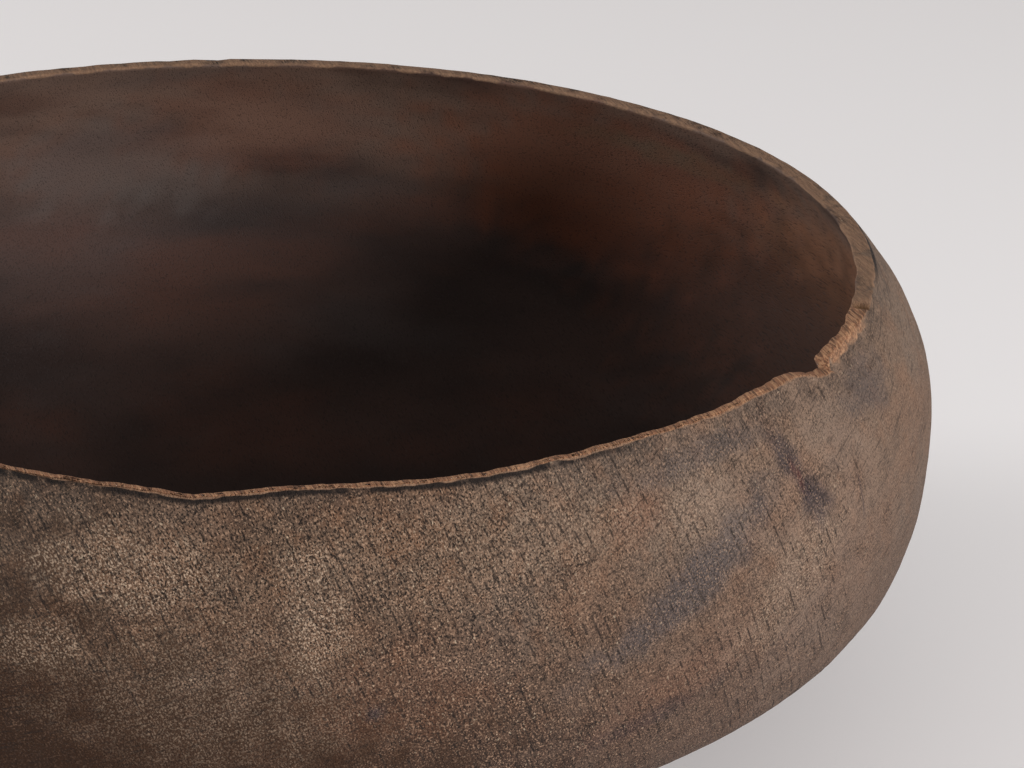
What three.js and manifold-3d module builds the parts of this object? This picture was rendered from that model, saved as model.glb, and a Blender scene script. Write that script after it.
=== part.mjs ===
// A squat carved bowl with an incurved mouth: one block of wood, turned round on the outside, hollowed out inside
// and left with a small flat foot. The rim has an old bite broken out of it and a small bruise beside the bite.
//
// Millimetres, +Z up. The origin is the centre of the flat foot, and angles are measured about +Z from +X.

import * as THREE from "three";
import { mergeVertices } from "three/addons/utils/BufferGeometryUtils.js";
import Module from "manifold-3d";

// Driving dimensions
const HEIGHT = 87.5;
const BELLY_RADIUS = 126.5;
const BELLY_HEIGHT = 60;
const MOUTH_RADIUS = 115; // where the outside wall ends and the rounded lip begins
const FOOT_RADIUS = 48.5;
const LIP_THICKNESS = 3.6;
const LIP_LEAN = THREE.MathUtils.degToRad(42); // how far the wall has turned inwards by the lip
const BELLY_THICKNESS = 7;
const FLOOR_THICKNESS = 10;

// The underside leaves the foot at this slope, and these handles set how full the two lower curves are.
const UNDERSIDE_SLOPE = THREE.MathUtils.degToRad(16);
const UNDERSIDE_HANDLE = 71.3;
const OUTER_BELLY_HANDLE = 31.2;
const INNER_BELLY_HANDLE = 28;
const FLOOR_HANDLE = 84;

// Damage to the rim
const BITE_ANGLE = THREE.MathUtils.degToRad(330); // its steep side
const BITE_LENGTH = 10.5;
const BITE_DEPTH = 2.6;
const BITE_UNDERCUT = 0.4; // how far the top of the steep side leans back over the lip
const BRUISE_ANGLE = THREE.MathUtils.degToRad(343);
const BRUISE_RADIUS = 2.6;
const BRUISE_RISE = 1.2; // how far the middle of the bruise's hollow stands above the lip

// Fineness of the surface
const SEGMENTS_ROUND = 72;
const POINTS_PER_CURVE = 9;
const LIP_DIVISIONS = 3;

const WOOD = new THREE.MeshStandardMaterial({ color: "#6f5a4a", roughness: 0.85, metalness: 0 });

const wasm = await Module();
wasm.setup();

// A closed geometry as a solid that can be cut.
function toSolid(geometry) {
  const bare = geometry.clone();
  bare.deleteAttribute("normal");
  bare.deleteAttribute("uv");
  const merged = mergeVertices(bare, 1e-4);
  return new wasm.Manifold(
    new wasm.Mesh({
      numProp: 3,
      vertProperties: merged.attributes.position.array,
      triVerts: new Uint32Array(merged.index.array),
    }),
  );
}

// A solid as a geometry that can be drawn.
function toGeometry(solid) {
  const { vertProperties, triVerts } = solid.getMesh();
  const geometry = new THREE.BufferGeometry();
  geometry.setAttribute("position", new THREE.BufferAttribute(vertProperties, 3));
  geometry.setIndex(new THREE.BufferAttribute(triVerts, 1));
  geometry.computeVertexNormals();
  return geometry;
}

// The half height of an ellipse that stands upright at the belly and passes through a point of the wall above it.
function riseThrough(point, bellyRadius) {
  return (point.y - BELLY_HEIGHT) / Math.sqrt(1 - (point.x / bellyRadius) ** 2);
}

// Half of the bowl's section, from the middle of the foot, up the outside, over the lip and down the inside.
function bowlSection() {
  const lipRadius = LIP_THICKNESS / 2;
  const acrossWall = new THREE.Vector2(Math.cos(LIP_LEAN), Math.sin(LIP_LEAN));
  const outerEdge = new THREE.Vector2(MOUTH_RADIUS, HEIGHT - lipRadius + lipRadius * acrossWall.y);
  const lipCentre = outerEdge.clone().addScaledVector(acrossWall, -lipRadius);
  const innerEdge = outerEdge.clone().addScaledVector(acrossWall, -LIP_THICKNESS);

  const outerRise = riseThrough(outerEdge, BELLY_RADIUS);
  const outerTurn = Math.acos(outerEdge.x / BELLY_RADIUS);
  const hollowRadius = BELLY_RADIUS - BELLY_THICKNESS;
  const innerRise = riseThrough(innerEdge, hollowRadius);
  const innerTurn = Math.acos(innerEdge.x / hollowRadius);

  const underside = new THREE.CubicBezierCurve(
    new THREE.Vector2(FOOT_RADIUS, 0),
    new THREE.Vector2(
      FOOT_RADIUS + UNDERSIDE_HANDLE * Math.cos(UNDERSIDE_SLOPE),
      UNDERSIDE_HANDLE * Math.sin(UNDERSIDE_SLOPE),
    ),
    new THREE.Vector2(BELLY_RADIUS, BELLY_HEIGHT - OUTER_BELLY_HANDLE),
    new THREE.Vector2(BELLY_RADIUS, BELLY_HEIGHT),
  );
  const shoulder = new THREE.EllipseCurve(0, BELLY_HEIGHT, BELLY_RADIUS, outerRise, 0, outerTurn);
  const lip = new THREE.EllipseCurve(
    lipCentre.x, lipCentre.y, lipRadius, lipRadius, LIP_LEAN, LIP_LEAN + Math.PI,
  );
  const innerShoulder = new THREE.EllipseCurve(
    0, BELLY_HEIGHT, hollowRadius, innerRise, innerTurn, 0, true,
  );
  const floor = new THREE.CubicBezierCurve(
    new THREE.Vector2(hollowRadius, BELLY_HEIGHT),
    new THREE.Vector2(hollowRadius, BELLY_HEIGHT - INNER_BELLY_HANDLE),
    new THREE.Vector2(FLOOR_HANDLE, FLOOR_THICKNESS),
    new THREE.Vector2(0, FLOOR_THICKNESS),
  );

  return [
    new THREE.Vector2(0, 0),
    ...underside.getPoints(POINTS_PER_CURVE),
    ...shoulder.getPoints(POINTS_PER_CURVE).slice(1),
    ...lip.getPoints(2 * LIP_DIVISIONS).slice(1),
    ...innerShoulder.getPoints(POINTS_PER_CURVE).slice(1),
    ...floor.getPoints(POINTS_PER_CURVE).slice(1),
  ];
}

// A tool that breaks out of the lip: a tapering bite, deepest beside its steep side, made at the origin with its
// length along the rim and pushed through the whole thickness of the wall.
function biteTool() {
  const above = 2;
  const reach = 4 * LIP_THICKNESS;
  const outline = new THREE.Shape();
  outline.moveTo(BITE_UNDERCUT, above);
  outline.lineTo(-BITE_LENGTH, above);
  outline.lineTo(-BITE_LENGTH, 0);
  outline.quadraticCurveTo(-BITE_LENGTH / 2, -BITE_DEPTH, -BITE_UNDERCUT, -BITE_DEPTH);
  outline.closePath();
  const tool = new THREE.ExtrudeGeometry(outline, { depth: reach, bevelEnabled: false, curveSegments: 5 });
  tool.translate(0, 0, -reach / 2);
  tool.rotateX(Math.PI / 2); // outline upright, depth across the wall
  tool.rotateZ(Math.PI / 2); // length along the rim where the rim crosses +X
  tool.translate(MOUTH_RADIUS - LIP_THICKNESS / 2, 0, HEIGHT);
  tool.rotateZ(BITE_ANGLE);
  return toSolid(tool);
}

// A ball that presses the bruise into the top of the lip.
function bruiseTool() {
  const ball = new THREE.SphereGeometry(BRUISE_RADIUS, 14, 10);
  ball.translate(MOUTH_RADIUS - LIP_THICKNESS / 2, 0, HEIGHT + BRUISE_RISE);
  ball.rotateZ(BRUISE_ANGLE);
  return toSolid(ball);
}

function makeBowl() {
  const turned = new THREE.LatheGeometry(bowlSection(), SEGMENTS_ROUND);
  turned.rotateX(Math.PI / 2);
  const worn = toSolid(turned).subtract(biteTool()).subtract(bruiseTool());
  const bowl = new THREE.Mesh(toGeometry(worn), WOOD);
  bowl.name = "bowl";
  return bowl;
}

const object = new THREE.Group();
object.add(makeBowl());

export default object;
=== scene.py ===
"""A carved wooden bowl: one block of hardwood, dark with age, its rim worn back to raw wood.

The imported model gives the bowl's size. bmesh spins its skin, vertex moves give it the unevenness
and the damage of a hand-made bowl, and one wood material dresses it, with the block's own fibres,
rays and rings.
"""

import logging
import math
from collections.abc import Callable
from dataclasses import dataclass, field
from enum import Enum

import bmesh
import bpy
from mathutils import Euler, Matrix, Vector, noise


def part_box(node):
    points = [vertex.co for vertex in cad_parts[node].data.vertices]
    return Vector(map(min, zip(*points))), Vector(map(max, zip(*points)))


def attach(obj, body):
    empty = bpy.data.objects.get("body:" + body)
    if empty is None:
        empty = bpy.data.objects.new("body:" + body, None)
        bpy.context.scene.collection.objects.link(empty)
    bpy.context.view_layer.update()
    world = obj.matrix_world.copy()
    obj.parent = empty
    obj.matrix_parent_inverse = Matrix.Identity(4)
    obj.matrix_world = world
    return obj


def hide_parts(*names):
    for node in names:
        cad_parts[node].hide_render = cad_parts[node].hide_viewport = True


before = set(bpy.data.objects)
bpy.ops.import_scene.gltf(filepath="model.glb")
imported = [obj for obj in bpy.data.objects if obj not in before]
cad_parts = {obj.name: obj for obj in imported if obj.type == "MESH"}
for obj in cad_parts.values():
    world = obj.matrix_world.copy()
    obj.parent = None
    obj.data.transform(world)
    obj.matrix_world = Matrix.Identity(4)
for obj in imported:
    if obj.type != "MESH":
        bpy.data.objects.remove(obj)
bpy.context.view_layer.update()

LOG = logging.getLogger("bowl")
MM = 0.001
RIM_RADIUS = 115.0  # out to the rim's outer arris, in millimetres
WAVE_TURN = math.tau / 20  # the scale at which a wave texture repeats once per unit
HOLLOW_FROM = -2.5  # how far over the rim, in millimetres, the marks of the inside begin
STAIN_REACH = 1.8  # how far out a mark may show, as a share of its half size
FAINTEST = 0.001  # a mark's share under this is left out
UNDER_DUST = 0.2  # how much a patch of dust tints the wood under its flecks
PALER_WHERE_WORN_AND_LIT = 0.35  # how much a patch worn smooth changes the wood's colour; the paler colour is partly painted light on the side that faces the key lamp

Point = tuple[float, float]
Size = tuple[float, float, float]


def linear(hex_colour: str, alpha: float = 1.0) -> tuple[float, float, float, float]:
    """Turns an sRGB hex colour into the linear colour that a shader socket takes.

    Args:
        hex_colour: six hex digits after a hash.
        alpha: the fourth channel.

    Returns:
        Red, green and blue in linear light, and alpha.
    """
    channels = (int(hex_colour[i : i + 2], 16) / 255 for i in (1, 3, 5))
    return (*(c / 12.92 if c <= 0.04045 else ((c + 0.055) / 1.055) ** 2.4 for c in channels), alpha)


def smooth_step(low: float, high: float, value: float) -> float:
    """Rises smoothly from 0 at low to 1 at high, or falls where low is above high."""
    t = min(1.0, max(0.0, (value - low) / (high - low)))
    return t * t * (3 - 2 * t)


def turn_between(bearing: float, centre: float) -> float:
    """The signed turn in degrees from one bearing to another, the short way round."""
    return (bearing - centre + 180) % 360 - 180


def along_rim(bearing: float, size: float, seed: float) -> float:
    """Noise from -1 to 1 that runs along the rim.

    Args:
        bearing: where on the rim, in degrees.
        size: how long a bump of the noise is, in millimetres.
        seed: a number of its own for each use.

    Returns:
        The noise there.
    """
    return noise.noise((bearing * math.radians(1) * RIM_RADIUS / size, seed, 0.0))


# --------------------------------------------------------------------------------- the bowl's shape


@dataclass(frozen=True)
class Section:
    """Half of the bowl's section, in millimetres out from the axis and up from the foot."""

    height: float
    belly_radius: float
    belly_height: float = 60.0
    mouth_radius: float = RIM_RADIUS
    foot_radius: float = 48.5
    foot_arris: float = 0.9
    rim_width: float = 3.3
    rim_arris: float = 0.55
    wall: float = 7.0
    floor: float = 10.0
    underside_slope: float = math.radians(16)
    underside_handle: float = 71.3
    outer_belly_handle: float = 31.2
    inner_belly_handle: float = 28.0
    floor_handle: float = 84.0
    foot_steps: int = 6
    underside_steps: int = 54
    shoulder_steps: int = 40
    arris_steps: int = 3
    rim_steps: int = 5
    inner_shoulder_steps: int = 28
    hollow_steps: int = 42

    @staticmethod
    def bezier(*handles: Point) -> Callable[[float], Point]:
        """A cubic curve through its first and last handles."""

        def at(t: float) -> Point:
            weights = ((1 - t) ** 3, 3 * t * (1 - t) ** 2, 3 * t * t * (1 - t), t**3)
            return tuple(sum(w * h[k] for w, h in zip(weights, handles)) for k in (0, 1))

        return at

    def shoulder(self, radius: float, edge: Point) -> Callable[[float], Point]:
        """An upright quarter oval from the belly, at 0, to an edge of the rim, at 1."""
        middle = self.belly_height
        rise = (edge[1] - middle) / math.sqrt(1 - (edge[0] / radius) ** 2)
        turn = math.acos(edge[0] / radius)
        return lambda t: (radius * math.cos(t * turn), middle + rise * math.sin(t * turn))

    @staticmethod
    def walk(curve: Callable[[float], Point], steps: int, crowd: float = 1.0) -> list[Point]:
        """Points along a curve, without its first one.

        Args:
            curve: gives a point for each share from 0 to 1.
            steps: how many points.
            crowd: over 1 crowds the points towards the curve's start, under 1 towards its end.

        Returns:
            The points in order.
        """
        return [curve((i / steps) ** crowd) for i in range(1, steps + 1)]

    def outline(self) -> tuple[list[Point], int]:
        """The half section, from the middle of the foot round to the middle of the floor inside.

        The handles of the two arrises of the rim are given as shares of rim_arris.

        Returns:
            The points, and the index of the rim's outer arris.
        """
        top, arris = self.height, self.rim_arris
        outer_edge = (self.mouth_radius, top - arris)
        inner_edge = (self.mouth_radius - self.rim_width, top - arris)
        flat_start, flat_end = self.mouth_radius - 1.4 * arris, inner_edge[0] + arris
        hollow = self.belly_radius - self.wall
        slope, reach = self.underside_slope, self.underside_handle
        flat_foot = self.foot_radius - self.foot_arris
        foot_edge = (self.foot_radius, self.foot_arris * 0.35)
        points = [(0.0, 0.0)]
        points += self.walk(lambda t: (t * flat_foot, 0.0), self.foot_steps, crowd=0.7)
        points.append(foot_edge)
        underside = self.bezier(
            foot_edge,
            (self.foot_radius + reach * math.cos(slope), reach * math.sin(slope)),
            (self.belly_radius, self.belly_height - self.outer_belly_handle),
            (self.belly_radius, self.belly_height),
        )
        points += self.walk(underside, self.underside_steps, crowd=0.8)
        shoulder = self.shoulder(self.belly_radius, outer_edge)
        points += self.walk(shoulder, self.shoulder_steps, crowd=0.85)
        edge_index = len(points) - 1
        over = self.bezier(
            outer_edge,
            (self.mouth_radius - 0.5 * arris, top - 0.45 * arris),
            (self.mouth_radius - 0.6 * arris, top),
            (flat_start, top),
        )
        points += self.walk(over, self.arris_steps)
        across = flat_end - flat_start
        points += self.walk(lambda t: (flat_start + t * across, top), self.rim_steps)
        back = self.bezier(
            (flat_end, top),
            (inner_edge[0] + 0.4 * arris, top),
            (inner_edge[0], top - 0.4 * arris),
            inner_edge,
        )
        points += self.walk(back, self.arris_steps)
        inner_shoulder = self.shoulder(hollow, inner_edge)
        points += self.walk(lambda t: inner_shoulder(1 - t), self.inner_shoulder_steps, crowd=1.15)
        hollow_floor = self.bezier(
            (hollow, self.belly_height),
            (hollow, self.belly_height - self.inner_belly_handle),
            (self.floor_handle, self.floor),
            (0.0, self.floor),
        )
        points += self.walk(hollow_floor, self.hollow_steps)
        return points, edge_index


@dataclass(frozen=True)
class Swell:
    """A high or low stretch of the rim: its middle and half length in degrees, its rise in mm."""

    bearing: float
    spread: float
    rise: float

    def at(self, bearing: float) -> float:
        """How far this stretch lifts the rim there, in millimetres."""
        return self.rise * math.exp(-((turn_between(bearing, self.bearing) / self.spread) ** 2))


@dataclass(frozen=True)
class Ripple:
    """Unevenness all over a surface: how wide one bump is and how high, in mm."""

    size: float
    height: float
    shift: Size = (0.0, 0.0, 0.0)

    def at(self, place: Vector) -> float:
        """How far the surface stands out there, in millimetres."""
        return self.height * noise.noise(place / self.size + Vector(self.shift))


@dataclass(frozen=True)
class Wear:
    """What age and use have done to the bowl's shape.

    Bearings are degrees about +Z from +X, and sizes are millimetres. Shares are of the rim's width.
    """

    swells: tuple[Swell, ...] = (
        Swell(245, 9, 1.1),
        Swell(266, 5, -1.1),
        Swell(272, 30, 0.85),
        Swell(285, 9, -0.40),
        Swell(303, 9, 0.55),
        Swell(319, 9, 0.5),
        Swell(20, 25, 0.4),
        Swell(95, 22, -0.5),
        Swell(150, 30, 0.5),
        Swell(200, 16, -0.7),
    )
    bite_from: float = 324.2
    bite_to: float = 329.8
    bite_depth: float = 2.0
    broken_from: float = 329.8
    broken_to: float = 341.5
    broken_depth: float = 0.45
    broken_share: float = 0.62
    broken_reach: float = 6.0  # how far down the outside the break may go
    broken_facing: Point = (0.80, 0.60)  # the way the broken face looks, outwards and upwards
    bruise_bearing: float = 343.2
    bruise_radius: float = 1.7
    bruise_depth: float = 1.1
    bruise_share: float = 0.45  # how far in from the outer arris its middle is
    bruise_reach: float = 8.0
    bruise_edge: Point = (1.15, 0.35)  # of its radius: where the hollow starts and where it is full
    rim_fade: float = 9.0  # how far down the walls a change to the rim is taken up
    lean: float = math.radians(42)  # how far the wall has turned inwards by the rim
    grain_bearing: float = 285.0
    shrinkage: float = 0.0022  # a block dries narrower across its fibres than along them
    ripples: tuple[Ripple, ...] = (Ripple(34.0, 0.40), Ripple(11.0, 0.16, (7.0, 0.0, 3.0)))
    tooth: tuple[Ripple, ...] = (Ripple(1.9, 0.05), Ripple(0.8, 0.035))
    splinters: tuple[Ripple, ...] = (Ripple(2.2, 0.45), Ripple(0.9, 0.2))
    facet_size: float = 15.0
    outer_facet: float = 0.10
    inner_facet: float = 0.22

    def rim_drop(self, bearing: float) -> float:
        """How far the rim has been worn or broken down there, in millimetres."""
        drop = -sum(swell.at(bearing) for swell in self.swells)
        nibble = along_rim(bearing, 5.0, 3.1) + 0.6 * along_rim(bearing, 1.7, 9.7)
        drop += 0.22 * nibble
        share = (bearing - self.bite_from) / (self.bite_to - self.bite_from)
        if 0 < share < 1:
            slope, steep_side = smooth_step(-0.1, 0.75, share), smooth_step(1.0, 0.955, share)
            drop += self.bite_depth * slope * steep_side * (1 + 0.18 * nibble)
        return drop

    def thinning(self, bearing: float) -> float:
        """How much narrower than its drawn width the rim is there, in millimetres."""
        front = smooth_step(58, 30, abs(turn_between(bearing, 275)))
        uneven = 0.30 * along_rim(bearing, 9.0, 21.3) + 0.15 * along_rim(bearing, 2.5, 4.1)
        left = smooth_step(16, 8, abs(turn_between(bearing, 254)))
        return 1.45 * front + 0.3 * left + 0.7 * self.chipped(bearing) - 0.25 + uneven

    def raw(self, bearing: float) -> float:
        """How far the patina has gone from the rim there: 1 is raw wood."""
        return 0.66 + 0.34 * smooth_step(61, 55, abs(turn_between(bearing, 285)))

    def sooty(self, bearing: float) -> float:
        """How dark the line is there where smoke has settled along the rim's outer arris."""
        return 1 - smooth_step(297, 307, bearing) * smooth_step(356, 347, bearing)

    def chipped(self, bearing: float) -> float:
        """How much of the outer arris is broken away there, from 0 to 1."""
        rise = smooth_step(self.broken_from - 0.5, self.broken_from + 0.5, bearing)
        return rise * smooth_step(self.broken_to, self.broken_to - 3.0, bearing)


@dataclass(frozen=True)
class Sector:
    """One stretch of the spin: where it ends, and how many steps it takes to get there."""

    end: float
    steps: int


@dataclass
class CarvedBowl:
    """The bowl as one closed skin: turned, hollowed, uneven, worn and chipped."""

    section: Section
    wear: Wear = field(default_factory=Wear)
    start: float = 236.0
    sectors: tuple[Sector, ...] = (Sector(320.0, 176), Sector(346.0, 104), Sector(596.0, 196))
    weld: float = 0.004
    name: str = "carved_bowl"

    def spin(self) -> bmesh.types.BMesh:
        """Turns the section round the axis, in finer steps at the worn rim and finest at the break.

        Returns:
            The closed skin. Its rim_mm layer holds each vertex's way down from the outer arris.
        """
        points, edge_index = self.section.outline()
        bm = bmesh.new()
        way = bm.verts.layers.float.new("rim_mm")
        ring, distance = [], 0.0
        for i, (r, z) in enumerate(points):
            distance += math.dist(points[i - 1], (r, z)) if i else 0.0
            vert = bm.verts.new((r * MM, 0.0, z * MM))
            vert[way] = distance
            ring.append(vert)
        arris_distance = ring[edge_index][way]
        for vert in ring:
            vert[way] = arris_distance - vert[way]
        wires = [bm.edges.new(pair) for pair in zip(ring, ring[1:])]
        to_start = Matrix.Rotation(math.radians(self.start), 3, "Z")
        bmesh.ops.rotate(bm, verts=ring, cent=(0, 0, 0), matrix=to_start)
        geometry, bearing = [*ring, *wires], self.start
        for sector in self.sectors:
            turned = bmesh.ops.spin(
                bm,
                geom=geometry,
                cent=(0, 0, 0),
                axis=(0, 0, 1),
                dvec=(0, 0, 0),
                angle=math.radians(sector.end - bearing),
                steps=sector.steps,
                use_merge=False,
                use_duplicate=False,
            )
            geometry, bearing = turned["geom_last"], sector.end
        bmesh.ops.remove_doubles(bm, verts=bm.verts, dist=self.weld * MM)
        bmesh.ops.recalc_face_normals(bm, faces=bm.faces)
        bm.normal_update()
        return bm

    def age(self, bm: bmesh.types.BMesh) -> None:
        """Moves every vertex as carving, drying and knocks have, and marks where raw wood shows.

        Args:
            bm: the skin from spin().
        """
        layers = bm.verts.layers.float
        layers.new("raw")
        layers.new("pit")
        layers.new("soot")
        way, raw, pit, soot = (layers[name] for name in ("rim_mm", "raw", "pit", "soot"))
        wear, section = self.wear, self.section
        upright = Vector((0, 0, 1))
        for vert in bm.verts:
            place, down = vert.co / MM, vert[way]
            out = math.hypot(place.x, place.y)
            bearing = math.degrees(math.atan2(place.y, place.x)) % 360
            outward = Vector((place.x, place.y, 0)) / max(out, 1e-6)
            inside = down < -0.5 * section.rim_width
            from_rim = max(0.0, down, -section.rim_width - 0.6 - down)
            near_rim = smooth_step(wear.rim_fade, 0.0, from_rim)
            standing = smooth_step(0.0, 3.0, place.z)  # the foot stays flat
            facet = noise.voronoi(place / wear.facet_size)[0][0] - 0.4
            hand = sum(ripple.at(place) for ripple in wear.ripples)
            hand += (wear.inner_facet if inside else wear.outer_facet) * facet
            tooth = sum(ripple.at(place) for ripple in wear.tooth)
            move = vert.normal * (standing * (1 - 0.8 * near_rim) * hand + standing * tooth)
            oval = math.cos(2 * math.radians(turn_between(bearing, wear.grain_bearing)))
            move += outward * out * wear.shrinkage * oval
            if near_rim > 0.0:
                slide = wear.rim_drop(bearing) * near_rim / math.cos(wear.lean)
                move += (outward * math.sin(wear.lean) - upright * math.cos(wear.lean)) * slide
                if inside:
                    move += outward * wear.thinning(bearing) * near_rim
                move += self.chip(place + move, bearing, down)
                vert[pit] = self.bruise(place, down)
                move -= upright * wear.bruise_depth * vert[pit]
                vert[raw] = self.rawness(place, bearing, down)
                vert[soot] = wear.sooty(bearing)
            vert.co = (place + move) * MM

    def chip(self, place: Vector, bearing: float, down: float) -> Vector:
        """The move that breaks the outer arris back to a slanting, ragged face."""
        wear, section = self.wear, self.section
        amount = wear.chipped(bearing)
        within = -wear.broken_share * section.rim_width <= down <= wear.broken_reach
        if amount <= 0.0 or not within:
            return Vector((0, 0, 0))
        outward = Vector((place.x, place.y, 0)).normalized()
        out_share, up_share = wear.broken_facing
        facing = (outward * out_share + Vector((0, 0, up_share))).normalized()
        top = section.height - wear.rim_drop(bearing)
        corner = outward * (section.mouth_radius - 0.1) + Vector((0, 0, top))
        ragged = sum(ripple.at(place) for ripple in wear.splinters)
        proud = (place - corner).dot(facing) + (wear.broken_depth + ragged) * amount
        return -facing * max(0.0, proud)

    def bruise(self, place: Vector, down: float) -> float:
        """How deep the small round hollow in the rim is there, as a share of its depth."""
        wear, section = self.wear, self.section
        turn = math.radians(wear.bruise_bearing)
        reach = section.mouth_radius - wear.bruise_share * section.rim_width
        middle = Vector((math.cos(turn), math.sin(turn), 0)) * reach
        away = (Vector((place.x, place.y, 0)) - middle).length / wear.bruise_radius
        return smooth_step(*wear.bruise_edge, away) if abs(down) < wear.bruise_reach else 0.0

    def rawness(self, place: Vector, bearing: float, down: float) -> float:
        """How raw the wood is there, from the worn top of the rim to the breaks below it."""
        wear, width = self.wear, self.section.rim_width
        short_of_hollow = smooth_step(-width - 1.1, -width - 0.3, down)
        on_top = smooth_step(-0.15, -0.55, down) * short_of_hollow
        patchy = 0.10 * along_rim(bearing, 14.0, 5.5) + 0.08 * along_rim(bearing, 4.0, 8.5)
        worn = on_top * (wear.raw(bearing) - 0.08 + patchy)
        ragged = 0.7 * noise.noise(place / 2.2)
        broken = 0.80 * wear.chipped(bearing) * smooth_step(1.5, 0.6, down + ragged)
        return min(1.0, max(worn, broken * short_of_hollow))

    def make(self) -> bpy.types.Object:
        """Builds the bowl.

        Returns:
            The object, at the origin, with its place in its mesh.
        """
        bm = self.spin()
        self.age(bm)
        bm.normal_update()
        mesh = bpy.data.meshes.new(self.name)
        bm.to_mesh(mesh)
        bm.free()
        mesh.shade_smooth()
        bowl = bpy.data.objects.new(self.name, mesh)
        bpy.context.scene.collection.objects.link(bowl)
        return bowl


# ----------------------------------------------------------------------------------------- the wood

Socket = bpy.types.NodeSocket


def add_node(
    tree: bpy.types.NodeTree,
    kind: str,
    inputs: dict[str | int, object] | None = None,
    out: str | None = None,
    **settings: object,
) -> Socket:
    """Adds one node with its settings and links.

    Args:
        tree: the material's or the world's node tree.
        kind: the node's type, without its ShaderNode prefix.
        inputs: for each input by name or index, a value, a hex colour or another node's output.
        out: the name of the output that is wanted, or None for the first.
        settings: the node's own properties.

    Returns:
        The output that is wanted.
    """
    node = tree.nodes.new("ShaderNode" + kind)
    for name, value in settings.items():
        setattr(node, name, value)
    for key, value in (inputs or {}).items():
        socket = next(s for i, s in enumerate(node.inputs) if s.enabled and key in (i, s.name))
        if isinstance(value, Socket):
            tree.links.new(value, socket)
        else:
            socket.default_value = linear(value) if isinstance(value, str) else value
    return next((s for s in node.outputs if s.enabled and out in (None, s.name)), None)


@dataclass(frozen=True)
class WeatheredSkin:
    """Old hardwood outside: dry, open-pored and dusty, grey over warm brown, with no shine."""

    warm: str = "#6f4c35"
    plain: str = "#665040"
    grey: str = "#65574c"
    deep: str = "#33251d"
    # painted shade: the wall darkens towards the foot, where less light falls
    low: str = "#33211a"
    pore: str = "#17110f"
    fleck: str = "#9f8069"
    dust: str = "#b39b85"
    speck: str = "#c4ae94"
    smoke: str = "#3a322e"
    soot: str = "#18110f"
    roughness: float = 0.88


@dataclass(frozen=True)
class HandledHollow:
    """The inside: stained nearly black by what it has held, and worn to a low sheen by hands."""

    black: str = "#271b18"
    brown: str = "#3f2c26"
    rust: str = "#4e2e22"
    bloom: str = "#403938"
    # a paler band under the rim that is also painted light: the hollow is lighter towards the rim,
    # where more light reaches
    shoulder: str = "#70594d"
    roughness: float = 0.68


@dataclass(frozen=True)
class RawRim:
    """Bare wood where the patina has worn or broken off: pale, warm and fibrous."""

    pale: str = "#aa8060"
    tan: str = "#875e45"
    shadow: str = "#4a3226"
    weathered: str = "#745e4d"
    pit: str = "#4f3418"
    roughness: float = 0.76


class Mark(Enum):
    """What a mark on the wood is, with its colour."""

    SMOKE = "#403c3e"
    RUST = "#743f27"
    DUST = "#6b5848"
    # Worn smooth and paler; the paler colour is partly painted light where the key lamp falls.
    RUBBED_AND_PAINTED_LIGHT = "#8d786a"
    KNOT = "#26222a"
    WINE = "#4f2622"
    # Painted shade, not a stain: it darkens the walls that the lamps light least.
    SHADE = "#2f1a0a"
    OLIVE = "#5f5241"
    LEATHER = "#8a5a3b"
    ASH = "#5c5552"


@dataclass(frozen=True)
class Stain:
    """One mark: its middle's bearing and height, its half sizes in mm, its slant and strength."""

    mark: Mark
    bearing: float
    height: float
    along: float
    across: float
    slant: float = 0.0
    strength: float = 0.6

    def share(self, place: Vector, bearing: float) -> float:
        """How strongly this mark shows there, from 0 to 1."""
        right = math.radians(turn_between(bearing, self.bearing)) * math.hypot(place.x, place.y)
        if abs(right) > STAIN_REACH * max(self.along, self.across):
            return 0.0
        rise = place.z - self.height
        turn = math.radians(self.slant)
        along = (right * math.cos(turn) + rise * math.sin(turn)) / self.along
        across = (rise * math.cos(turn) - right * math.sin(turn)) / self.across
        ragged = 0.45 * noise.noise(place / 4.0 + Vector((self.height, 0, 0)))
        return self.strength * smooth_step(1.25, 0.45, math.hypot(along, across) + ragged)


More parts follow.
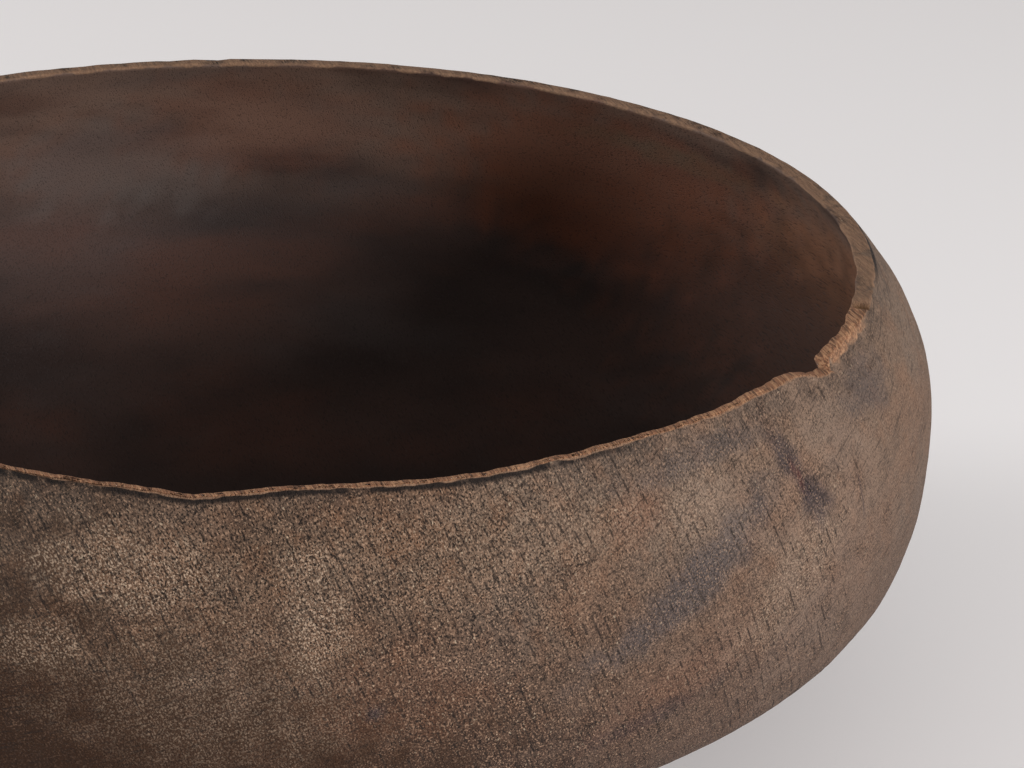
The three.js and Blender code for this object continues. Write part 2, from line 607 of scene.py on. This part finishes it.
OUTSIDE_STAINS = (
    # Patches worn smooth and paler; their paler colour is partly painted light on the side that
    # faces the key lamp.
    Stain(Mark.RUBBED_AND_PAINTED_LIGHT, 310, 66, 44, 60, 0, 0.42),
    Stain(Mark.RUBBED_AND_PAINTED_LIGHT, 346, 62, 80, 64, 0, 0.72),
    # Painted shade on the left and lower left of the outside, which face away from the key lamp.
    Stain(Mark.SHADE, 241, 56, 46, 40, 0, 0.74),
    Stain(Mark.SHADE, 258, 35, 66, 34, 0, 0.84),
    Stain(Mark.DUST, 261, 77, 17, 7, -4, 1.0),
    Stain(Mark.DUST, 274.5, 70, 6, 13, 0, 0.9),
    Stain(Mark.DUST, 254.8, 65, 8, 5, 0, 0.7),
    Stain(Mark.DUST, 268, 60, 30, 16, 0, 0.35),
    Stain(Mark.DUST, 306, 78, 10, 5, 25, 0.34),
    Stain(Mark.DUST, 288, 78, 36, 9, 0, 0.36),
    Stain(Mark.DUST, 316, 60, 18, 8, 30, 0.4),
    Stain(Mark.RUST, 301, 78.5, 7, 4, 20, 0.18),
    Stain(Mark.RUST, 281, 58, 16, 9, 10, 0.10),
    Stain(Mark.RUST, 303, 48, 22, 5, 18, 0.10),
    Stain(Mark.SMOKE, 305, 66, 26, 4.6, 27, 0.66),
    Stain(Mark.SMOKE, 309, 84, 18, 2.4, 3, 0.50),
    Stain(Mark.SMOKE, 333, 81.0, 11, 4.5, 0, 0.55),
    Stain(Mark.KNOT, 278.8, 54, 1.8, 1.4, 0, 0.70),
    Stain(Mark.KNOT, 302, 43.8, 16, 2.2, 12, 0.40),
    Stain(Mark.KNOT, 317.4, 79, 2.8, 7.2, 18, 0.68),
    Stain(Mark.KNOT, 319.3, 71.2, 3.8, 5.4, 26, 0.70),
    # Worn smooth and paler, partly painted light.
    Stain(Mark.RUBBED_AND_PAINTED_LIGHT, 308.5, 76.5, 8, 7, 0, 0.6),
    Stain(Mark.WINE, 317.9, 76.5, 0.9, 3.8, 16, 0.75),
    Stain(Mark.KNOT, 326.0, 66.8, 0.5, 5.2, 4, 0.55),
)

INSIDE_STAINS = (
    Stain(Mark.OLIVE, 150, 66, 30, 12, 0, 0.50),
    Stain(Mark.ASH, 132, 62, 22, 9, 10, 0.45),
    Stain(Mark.RUST, 108, 66, 20, 10, 0, 0.12),
    Stain(Mark.ASH, 104, 64, 26, 12, 0, 0.34),
    Stain(Mark.RUST, 52, 68, 46, 20, 0, 0.50),
    Stain(Mark.OLIVE, 40, 78, 26, 3, 0, 0.50),
    Stain(Mark.RUST, 28, 58, 50, 24, 0, 0.34),
    Stain(Mark.LEATHER, 14, 70, 34, 13, 0, 0.40),
    # Painted shade on the right of the hollow, which the key lamp does not reach.
    Stain(Mark.SHADE, 14, 54, 60, 20, 0, 0.52),
    Stain(Mark.RUST, 90, 72, 26, 13, 0, 0.22),
    Stain(Mark.ASH, 200, 48, 24, 12, 0, 0.35),
)


@dataclass
class BowlWood:
    """The bowl's one material: one block of wood cut at every angle, under three finishes.

    The block's own axes run along its fibres, along its growth rings and along its rays.
    """

    name: str = "weathered_carved_hardwood"
    skin: WeatheredSkin = field(default_factory=WeatheredSkin)
    hollow: HandledHollow = field(default_factory=HandledHollow)
    rim: RawRim = field(default_factory=RawRim)
    fibre_bearing: float = 285.0
    ray_slant: float = 67.0
    fleck_mm: Size = (2.2, 0.31, 0.34)  # one vessel, with the wood between it and the next
    speck_mm: Size = (1.0, 0.5, 0.5)  # a crumb of dust
    fibre_mm: Size = (7.0, 0.45, 0.45)  # a torn bundle of fibres on the raw rim
    ray_mm: Size = (14.0, 0.32, 2.8)  # one ray
    line_mm: Size = (14.0, 3.2, 0.30)  # a fine line across the rays
    row_mm: Size = (60.0, 1.9, 60.0)  # from one row of pores to the next
    dash_mm: Size = (10.0, 1.4, 1.1)  # an open pore in a row
    mottle_mm: Size = (12.0, 3.6, 4.4)  # a small patch of grime
    ring_mm: Size = (160.0, 45.0, 5.5)  # a growth band
    blotch_mm: Size = (34.0, 24.0, 16.0)  # a wide change of colour
    smear_mm: Size = (45.0, 45.0, 13.0)  # a level smear of what the bowl has held
    fray_mm: Size = (5.0, 5.0, 5.0)  # a tongue of patina left on the raw wood
    row_bend: float = 3.0
    row_share: float = 0.70
    relief_mm: float = 0.13
    specular: float = 0.25  # dry wood shines half as much as a smooth varnish

    def __post_init__(self) -> None:
        """Starts the material and its shared coordinates."""
        self.material = bpy.data.materials.new(self.name)
        self.material.use_nodes = True
        self.tree = self.material.node_tree
        self.tree.nodes.clear()
        self.place = self.add("TexCoord", out="Object")
        self.way = self.add("Attribute", out="Fac", attribute_name="rim_mm")

    def add(
        self, kind: str, inputs: dict | None = None, out: str | None = None, **settings: object
    ) -> Socket:
        """Adds one node to this material, as add_node does."""
        return add_node(self.tree, kind, inputs, out, **settings)

    def in_block(self, size_mm: Size, shift: float = 0.0, level: bool = False) -> Socket:
        """The place in the block of wood, counted in features of one size.

        Args:
            size_mm: how far a feature reaches along the fibres, the rings and the rays.
            shift: moves the place, so that two patterns of one size differ.
            level: True counts by the bowl's own axes and not by the grain.

        Returns:
            The place.
        """
        turn, slant = math.radians(self.fibre_bearing), math.radians(self.ray_slant)
        fibre = Vector((math.cos(turn), math.sin(turn), 0))
        across = Vector((-math.sin(turn), math.cos(turn), 0))
        ray = across * math.cos(slant) - Vector((0, 0, 1)) * math.sin(slant)
        block = Matrix((fibre, ray.cross(fibre), ray)).transposed().to_euler()
        inputs = {
            "Vector": self.place,
            "Location": (shift, shift, 0),
            "Rotation": Euler() if level else block,
            "Scale": [size * MM for size in size_mm],
        }
        return self.add("Mapping", inputs, vector_type="TEXTURE")

    def rows(self) -> Socket:
        """A mask of the rows of short open pores that follow the rays, one ring apart."""
        place = self.in_block(self.row_mm)
        inputs = {"Vector": place, "Scale": WAVE_TURN, "Distortion": self.row_bend, "Detail": 2.0}
        waves = self.add("TexWave", inputs, out="Fac", bands_direction="Y")
        limits = {"Value": waves, "From Min": 0.84, "From Max": 0.99, "To Max": self.row_share}
        dashes = self.pattern(self.dash_mm, 0.46, 0.58, 1.0, 1, 0.3)
        return self.product(self.add("MapRange", limits, interpolation_type="SMOOTHSTEP"), dashes)

    def pattern(
        self,
        size_mm: Size,
        low: float,
        high: float,
        share: float = 1.0,
        detail: float = 1.0,
        shift: float = 0.0,
        level: bool = False,
    ) -> Socket:
        """A mask of spots or streaks that runs with the block's grain.

        Args:
            size_mm: how far a feature reaches along the fibres, the rings and the rays.
            low: the noise value that the mask starts from.
            high: the noise value where it is full. Under low, it shows the noise's dark parts.
            share: the mask's value where it is full.
            detail: how many finer noises ride on the first.
            shift: moves the pattern, so that two of one size differ.
            level: True lays the pattern by the bowl's own axes and not by the grain.

        Returns:
            The mask, from 0 to share.
        """
        place = self.in_block(size_mm, shift, level)
        value = self.add("TexNoise", {"Vector": place, "Scale": 1.0, "Detail": detail})
        limits = {"Value": value, "From Min": low, "From Max": high, "To Max": share}
        return self.add("MapRange", limits, interpolation_type="SMOOTHSTEP")

    def band(self, start: float, full: float, share: float = 1.0) -> Socket:
        """A mask by the way down from the rim: 0 at start, and share from full on."""
        limits = {"Value": self.way, "From Min": start, "From Max": full, "To Max": share}
        return self.add("MapRange", limits, interpolation_type="SMOOTHSTEP")

    def product(self, *factors: Socket | float) -> Socket:
        """The product of some masks."""
        result = factors[0]
        for factor in factors[1:]:
            result = self.add("Math", {0: result, 1: factor}, operation="MULTIPLY")
        return result

    def layers(self, ground: Socket | str, *coats: tuple[Socket | str, Socket | float]) -> Socket:
        """Coats a ground colour.

        Args:
            ground: the colour underneath.
            coats: each coat's colour and its mask, in the order they are laid.

        Returns:
            The colour on top.
        """
        colour = ground
        for coat, share in coats:
            colour = self.add("Mix", {"Factor": share, "A": colour, "B": coat}, data_type="RGBA")
        return colour

    def outside(self) -> Socket:
        """The weathered outside's colour."""
        skin = self.skin
        stain = {"attribute_name": "stain"}
        dust = self.add("Attribute", out="Fac", attribute_name="dust")
        patches = self.pattern(self.mottle_mm, 0.40, 0.56, 1.0, 3, 0.5)
        near_rim = self.product(self.band(7.0, 0.8, 0.42), patches)
        soot = self.add("Attribute", out="Fac", attribute_name="soot")
        ragged = self.pattern(self.mottle_mm, 0.28, 0.46, 1.0, 4, 0.6)
        under_rim = self.product(soot, self.band(-0.75, -0.40), self.band(1.1, 0.2, 0.95), ragged)
        # Patches worn smooth, and the painted shade, hide the pale flecks and the open pores.
        rubbed_and_painted_shade = self.add("Attribute", out="Fac", attribute_name="rubbed_and_painted_shade")
        unrubbed_and_unshaded = self.add("Math", {0: 1.0, 1: rubbed_and_painted_shade}, operation="SUBTRACT")
        # Rays and rows of pores wear away last, and they also fade under the painted shade.
        limits = {"Value": rubbed_and_painted_shade, "From Min": 0.78, "From Max": 0.44}
        whole = self.add("MapRange", limits, interpolation_type="SMOOTHSTEP")
        lines = self.pattern(self.line_mm, 0.58, 0.70, 0.45, 1)
        open_patches = self.pattern(self.blotch_mm, 0.48, 0.60, 1.0, 2, 0.9)
        rays = self.product(whole, self.pattern(self.ray_mm, 0.60, 0.72, 0.5, 1), open_patches)
        row_patches = self.pattern(self.blotch_mm, 0.34, 0.52, 1.0, 2, 0.7)
        return self.layers(
            skin.plain,
            (skin.warm, self.pattern(self.blotch_mm, 0.44, 0.62, 0.48, 4)),
            (skin.grey, self.pattern(self.blotch_mm, 0.46, 0.64, 0.50, 4, 0.3)),
            (skin.deep, self.pattern(self.ring_mm, 0.48, 0.62, 0.32, 3)),
            (skin.warm, self.pattern(self.mottle_mm, 0.50, 0.66, 0.40, 3, 0.2)),
            (skin.deep, self.pattern(self.mottle_mm, 0.48, 0.32, 0.35, 3)),
            # Painted shade: darker down the wall towards the foot.
            (skin.low, self.band(-4.0, 60.0, 0.78)),
            (self.add("Attribute", **stain), self.add("Attribute", out="Alpha", **stain)),
            (skin.smoke, near_rim),
            (skin.fleck, self.product(unrubbed_and_unshaded, self.pattern(self.fleck_mm, 0.50, 0.70, 0.84, 2))),
            (skin.dust, self.product(dust, self.pattern(self.fleck_mm, 0.48, 0.66, 0.85, 2, 0.4))),
            (skin.pore, self.product(unrubbed_and_unshaded, self.pattern(self.fleck_mm, 0.53, 0.31, 0.96, 2, 0.2))),
            (skin.pore, lines),
            (skin.pore, rays),
            (skin.pore, self.product(whole, self.rows(), row_patches)),
            (skin.speck, self.product(unrubbed_and_unshaded, self.pattern(self.speck_mm, 0.77, 0.83, 0.5, 0))),
            (skin.soot, under_rim),
        )

    def inside(self) -> Socket:
        """The stained hollow's colour."""
        hollow = self.hollow
        stain = {"attribute_name": "stain"}
        paler_and_lit_patches = self.pattern(self.smear_mm, 0.2, 0.6, 0.85, 3, 0.2, True)
        return self.layers(
            hollow.black,
            (hollow.brown, self.pattern(self.smear_mm, 0.30, 0.74, 0.9, 2, 0.7, True)),
            # Paler under the rim, partly painted light that fades down into the hollow.
            (hollow.shoulder, self.product(self.band(-46.0, -16.0), paler_and_lit_patches)),
            (hollow.rust, self.pattern(self.smear_mm, 0.46, 0.74, 0.5, 3, 0.9, True)),
            (hollow.bloom, self.pattern(self.smear_mm, 0.48, 0.74, 0.4, 4, 1.1, True)),
            (self.add("Attribute", **stain), self.add("Attribute", out="Alpha", **stain)),
            (self.skin.pore, self.pattern(self.fleck_mm, 0.46, 0.30, 0.5, 2, 0.2)),
            (hollow.bloom, self.pattern(self.fleck_mm, 0.56, 0.74, 0.3, 2)),
        )

    def bare(self) -> Socket:
        """The raw rim's colour, greyer where the wear is old."""
        rim = self.rim
        raw = self.add("Attribute", out="Fac", attribute_name="raw")
        limits = {"Value": raw, "From Min": 0.92, "From Max": 0.62, "To Max": 0.65}
        weathered = self.add("MapRange", limits, interpolation_type="SMOOTHSTEP")
        return self.layers(
            rim.tan,
            (rim.pale, self.pattern(self.fibre_mm, 0.45, 0.60, 0.9, 2, 0.4)),
            (rim.shadow, self.pattern(self.fibre_mm, 0.46, 0.36, 0.75, 2, 0.6)),
            (rim.weathered, weathered),
            (rim.pit, self.add("Attribute", out="Fac", attribute_name="pit")),
        )

    def make(self) -> bpy.types.Material:
        """Builds the whole material.

        Returns:
            The material.
        """
        hollow_side = self.band(-2.7, -3.7)
        worn = self.add("Attribute", out="Fac", attribute_name="raw")
        frayed = self.pattern(self.fray_mm, 0.30, 0.70, 0.5, 3, 0.8)
        worn = self.add("Math", {0: worn, 1: frayed}, operation="ADD")
        limits = {"Value": worn, "From Min": 0.55, "From Max": 0.85}
        worn = self.add("MapRange", limits, interpolation_type="SMOOTHSTEP")
        colour = self.layers(self.outside(), (self.inside(), hollow_side), (self.bare(), worn))
        sides = {"Factor": hollow_side, "A": self.skin.roughness, "B": self.hollow.roughness}
        gloss = self.add("Mix", sides, data_type="FLOAT")
        edge = {"Factor": worn, "A": gloss, "B": self.rim.roughness}
        gloss = self.add("Mix", edge, data_type="FLOAT")
        pores = self.pattern(self.fleck_mm, 0.28, 0.52, 1.0, 2, 0.2)
        rays = self.pattern(self.ray_mm, 0.70, 0.60, 0.6, 1)
        relief = self.add("Math", {0: pores, 1: rays}, operation="ADD")
        quiet = self.add("Mix", {"Factor": hollow_side, "A": 1.0, "B": 0.3}, data_type="FLOAT")
        depth = self.relief_mm * MM
        bump = self.add("Bump", {"Height": relief, "Strength": quiet, "Distance": depth})
        inputs = {
            "Base Color": colour,
            "Roughness": gloss,
            "Specular IOR Level": self.specular,
            "Normal": bump,
        }
        self.add("OutputMaterial", {"Surface": self.add("BsdfPrincipled", inputs)})
        return self.material


# --------------------------------------------------------------------------------------- the studio


@dataclass(frozen=True)
class Lamp:
    """A soft round light that faces the bowl. Angles are degrees, the rest metres and watts."""

    name: str
    bearing: float
    height: float
    distance: float
    size: float
    power: float

    def hang(self) -> None:
        """Puts the light in its place."""
        turn, height = math.radians(self.bearing), math.radians(self.height)
        level = math.cos(height)
        towards = Vector((math.cos(turn) * level, math.sin(turn) * level, math.sin(height)))
        light = bpy.data.lights.new(self.name, "AREA")
        light.shape = "DISK"
        light.size = self.size
        light.energy = self.power
        lamp = bpy.data.objects.new(self.name, light)
        lamp.location = towards * self.distance
        lamp.rotation_euler = towards.to_track_quat("Z", "Y").to_euler()
        bpy.context.scene.collection.objects.link(lamp)


@dataclass
class Studio:
    """A pale floor, a low key light at the front right, a weaker one at the left, and a camera."""

    floor_size: float = 12.0
    floor_colour: str = "#fffcfd"
    floor_roughness: float = 0.9
    fill_colour: str = "#f4f1ee"
    fill_strength: float = 0.40
    lamps: tuple[Lamp, ...] = (
        Lamp("key", -46.0, 20.0, 1.6, 0.35, 22.0),
        Lamp("side", 166.0, 13.0, 1.6, 0.6, 18.0),
    )
    eye: Size = (0.0, -0.6916, 0.3388)
    yaw: float = 4.04
    pitch: float = 21.94
    roll: float = 1.21
    lens: float = 140.6  # in millimetres

    def floor(self) -> bpy.types.Object:
        """The floor that the bowl stands on."""
        bm = bmesh.new()
        bmesh.ops.create_grid(bm, x_segments=1, y_segments=1, size=self.floor_size / 2)
        mesh = bpy.data.meshes.new("floor")
        bm.to_mesh(mesh)
        bm.free()
        paint = bpy.data.materials.new("matt_floor_paint")
        paint.use_nodes = True
        paint.node_tree.nodes.clear()
        inputs = {"Base Color": self.floor_colour, "Roughness": self.floor_roughness}
        shader = add_node(paint.node_tree, "BsdfPrincipled", inputs)
        add_node(paint.node_tree, "OutputMaterial", {"Surface": shader})
        mesh.materials.append(paint)
        floor = bpy.data.objects.new("floor", mesh)
        bpy.context.scene.collection.objects.link(floor)
        return floor

    def lights(self) -> None:
        """The fill all round and the lamps."""
        world = bpy.data.worlds.new("soft_fill")
        world.use_nodes = True
        world.node_tree.nodes.clear()
        fill = {"Color": self.fill_colour, "Strength": self.fill_strength}
        background = add_node(world.node_tree, "Background", fill)
        add_node(world.node_tree, "OutputWorld", {"Surface": background})
        bpy.context.scene.world = world
        for lamp in self.lamps:
            lamp.hang()

    def camera(self) -> None:
        """A long lens that looks down into the bowl from the front."""
        yaw, pitch, roll = (math.radians(angle) for angle in (self.yaw, self.pitch, self.roll))
        level = math.cos(pitch)
        ahead = Vector((math.sin(yaw) * level, math.cos(yaw) * level, -math.sin(pitch)))
        right = ahead.cross(Vector((0, 0, 1))).normalized()
        up = right.cross(ahead)
        lens = bpy.data.cameras.new("camera")
        lens.lens = self.lens
        camera = bpy.data.objects.new("camera", lens)
        across = right * math.cos(roll) + up * math.sin(roll)
        upwards = up * math.cos(roll) - right * math.sin(roll)
        turned = Matrix((across, upwards, -ahead)).transposed().to_4x4()
        camera.matrix_world = Matrix.Translation(self.eye) @ turned
        bpy.context.scene.collection.objects.link(camera)
        bpy.context.scene.camera = camera


def paint_stains(mesh: bpy.types.Mesh) -> None:
    """Writes the marks on both sides of the wall into the mesh, the later over the earlier.

    Dust settles in the grain, so it has an attribute of its own. So have the wear that closes the
    grain and the painted shade, which hides the pale flecks. All the marks together make one colour
    and its cover.

    Args:
        mesh: the bowl's mesh, with its rim_mm.
    """
    mesh.attributes.new("stain", "FLOAT_COLOR", "POINT")
    mesh.attributes.new("dust", "FLOAT", "POINT")
    mesh.attributes.new("rubbed_and_painted_shade", "FLOAT", "POINT")
    names = ("rim_mm", "stain", "dust", "rubbed_and_painted_shade")
    way, paint, dust, rubbed_and_painted_shade = (mesh.attributes[name].data for name in names)
    for i, vert in enumerate(mesh.vertices):
        place = vert.co / MM
        bearing = math.degrees(math.atan2(place.y, place.x))
        colour, cover = Vector((0.0, 0.0, 0.0)), 0.0
        for stain in INSIDE_STAINS if way[i].value < HOLLOW_FROM else OUTSIDE_STAINS:
            share = stain.share(place, bearing)
            if share < FAINTEST:
                continue
            if stain.mark is Mark.DUST:
                dust[i].value = max(dust[i].value, share)
                share *= UNDER_DUST
            # Painted shade hides the pale flecks as wear does.
            if stain.mark in (Mark.RUBBED_AND_PAINTED_LIGHT, Mark.SHADE):
                rubbed_and_painted_shade[i].value = max(rubbed_and_painted_shade[i].value, share)
            if stain.mark is Mark.RUBBED_AND_PAINTED_LIGHT:
                share *= PALER_WHERE_WORN_AND_LIT
            cover = share + cover * (1 - share)
            colour = colour.lerp(Vector(linear(stain.mark.value)[:3]), share / cover)
        paint[i].color = (*colour, cover)


def main() -> None:
    """Builds the studio and the bowl, dresses the bowl, and reports."""
    logging.basicConfig(level=logging.INFO, format="%(name)s: %(message)s")
    bpy.context.scene.view_settings.view_transform = "Standard"
    studio = Studio()
    studio.camera()
    studio.lights()
    studio.floor()
    low, high = (Vector(corner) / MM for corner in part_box("bowl"))
    section = Section(height=high.z, belly_radius=high.x)
    bowl = CarvedBowl(section).make()
    paint_stains(bowl.data)
    bowl.data.materials.append(BowlWood().make())
    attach(bowl, "root")
    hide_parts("bowl")
    LOG.info("%s: %d vertices, %.1f mm tall", bowl.name, len(bowl.data.vertices), high.z - low.z)


if __name__ == "__main__":
    main()
